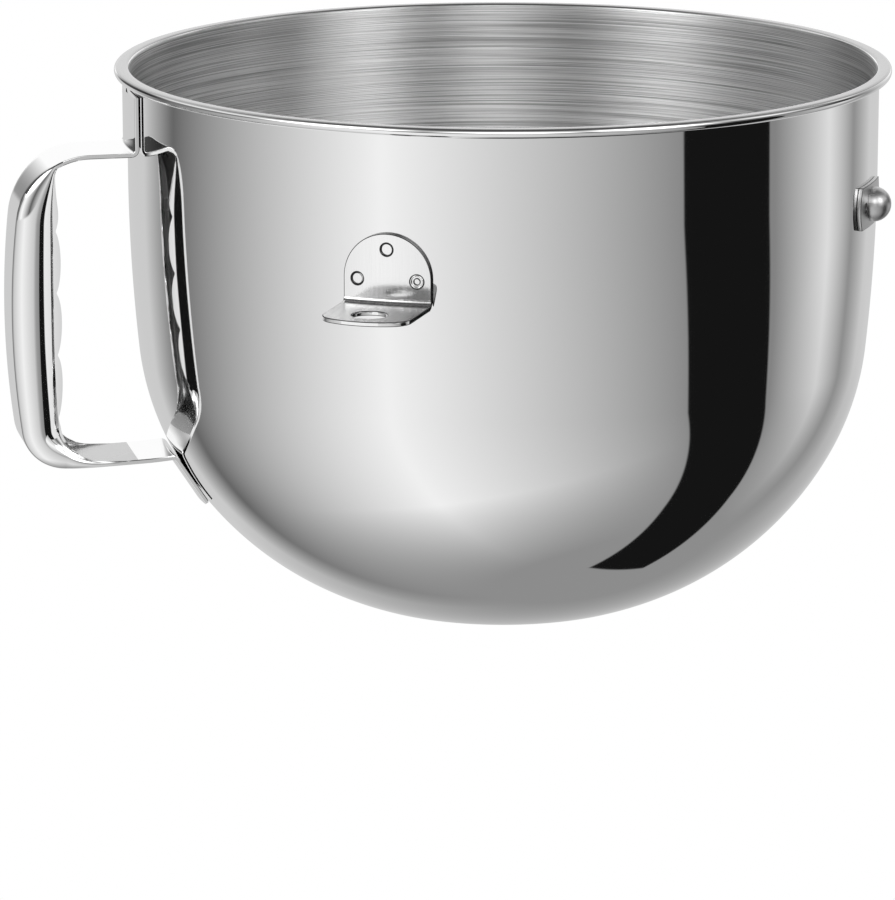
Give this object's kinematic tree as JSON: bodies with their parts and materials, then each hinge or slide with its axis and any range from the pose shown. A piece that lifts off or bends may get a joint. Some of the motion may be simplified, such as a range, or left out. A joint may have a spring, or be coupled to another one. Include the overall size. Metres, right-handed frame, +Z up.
{
  "type": "stand mixer bowl",
  "caption": "Polished steel mixing bowl with a rolled rim, two lifting brackets, a rear latch pin and a strap handle.",
  "frame": {"origin": "centre of the flat base's underside, on the bowl's axis", "axes": "+Z up along the bowl's axis; +Y towards the rear latch pin; lifting brackets on +X and -X"},
  "size_m": [0.3002, 0.2764, 0.1766],
  "materials": {
    "polished_shell": "mirror polished outside, concentric brushing inside",
    "satin_brackets": "light satin",
    "latch_steel": "polished",
    "polished_handle": "mirror polished"
  },
  "bodies": {
    "root": {"bowl_shell": "polished_shell", "side_bracket_right": "satin_brackets", "side_bracket_left": "satin_brackets", "latch_plate": "latch_steel", "latch_pin": "latch_steel", "handle": "polished_handle"}
  },
  "joints": []
}
